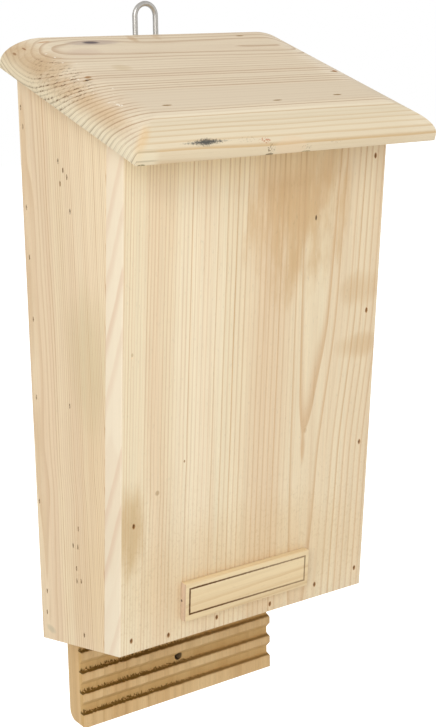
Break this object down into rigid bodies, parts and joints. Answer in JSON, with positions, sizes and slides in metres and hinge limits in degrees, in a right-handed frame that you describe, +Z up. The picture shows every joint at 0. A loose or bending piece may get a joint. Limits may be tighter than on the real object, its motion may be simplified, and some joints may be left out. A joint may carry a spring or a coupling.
{
  "type": "bat box",
  "caption": "Slim wooden roosting box for bats with a grooved landing tail below, a sloping rounded roof, an inner partition and a wire hanger.",
  "frame": {"origin": "middle of the back plane, at the height of the side boards' lower back corners", "axes": "+Z up along the back board, +Y out of the back towards the wall, -Y out of the front, +X to the right seen from the front"},
  "size_m": [0.2368, 0.1686, 0.5249],
  "materials": {
    "pale_pine": "planed, unfinished",
    "roof_pine": "planed, unfinished",
    "side_pine": "planed, unfinished",
    "brown_pine": "milled, unfinished",
    "plate_wood": "sanded, with a burned border line",
    "bright_steel": "bright galvanised",
    "dull_steel": "dull, sunk below the surface"
  },
  "bodies": {
    "root": {"back_board": "brown_pine", "brad_front_foot_1": "dull_steel", "brad_front_foot_2": "dull_steel", "brad_front_foot_3": "dull_steel", "brad_front_foot_4": "dull_steel", "brad_front_left_1": "dull_steel", "brad_front_left_2": "dull_steel", "brad_front_left_3": "dull_steel", "brad_front_right_1": "dull_steel", "brad_front_right_2": "dull_steel", "brad_front_right_3": "dull_steel", "brad_front_right_4": "dull_steel", "brad_left_back_1": "dull_steel", "brad_left_back_2": "dull_steel", "brad_left_back_3": "dull_steel", "brad_left_back_4": "dull_steel", "brad_left_back_5": "dull_steel", "brad_left_back_6": "dull_steel", "brad_left_back_7": "dull_steel", "brad_left_back_8": "dull_steel", "brad_left_back_9": "dull_steel", "brad_left_floor_1": "dull_steel", "brad_left_partition_1": "dull_steel", "brad_left_partition_10": "dull_steel", "brad_left_partition_11": "dull_steel", "brad_left_partition_12": "dull_steel", "brad_left_partition_2": "dull_steel", "brad_left_partition_3": "dull_steel", "brad_left_partition_4": "dull_steel", "brad_left_partition_5": "dull_steel", "brad_left_partition_6": "dull_steel", "brad_left_partition_7": "dull_steel", "brad_left_partition_8": "dull_steel", "brad_left_partition_9": "dull_steel", "brad_right_back_1": "dull_steel", "brad_right_back_2": "dull_steel", "brad_right_back_3": "dull_steel", "brad_right_back_4": "dull_steel", "brad_right_floor_1": "dull_steel", "brad_right_partition_1": "dull_steel", "brad_right_partition_2": "dull_steel", "brad_right_partition_3": "dull_steel", "brad_roof_back_1": "dull_steel", "brad_roof_front_1": "dull_steel", "brad_roof_front_2": "dull_steel", "brad_roof_front_3": "dull_steel", "brad_roof_left_1": "dull_steel", "brad_roof_right_1": "dull_steel", "floor_strip": "side_pine", "front_board": "pale_pine", "hanger_staple_left": "bright_steel", "hanger_staple_right": "bright_steel", "hanger_wire": "bright_steel", "left_side": "side_pine", "name_plate": "plate_wood", "partition_board": "brown_pine", "right_side": "side_pine", "roof_board": "roof_pine"}
  },
  "joints": []
}
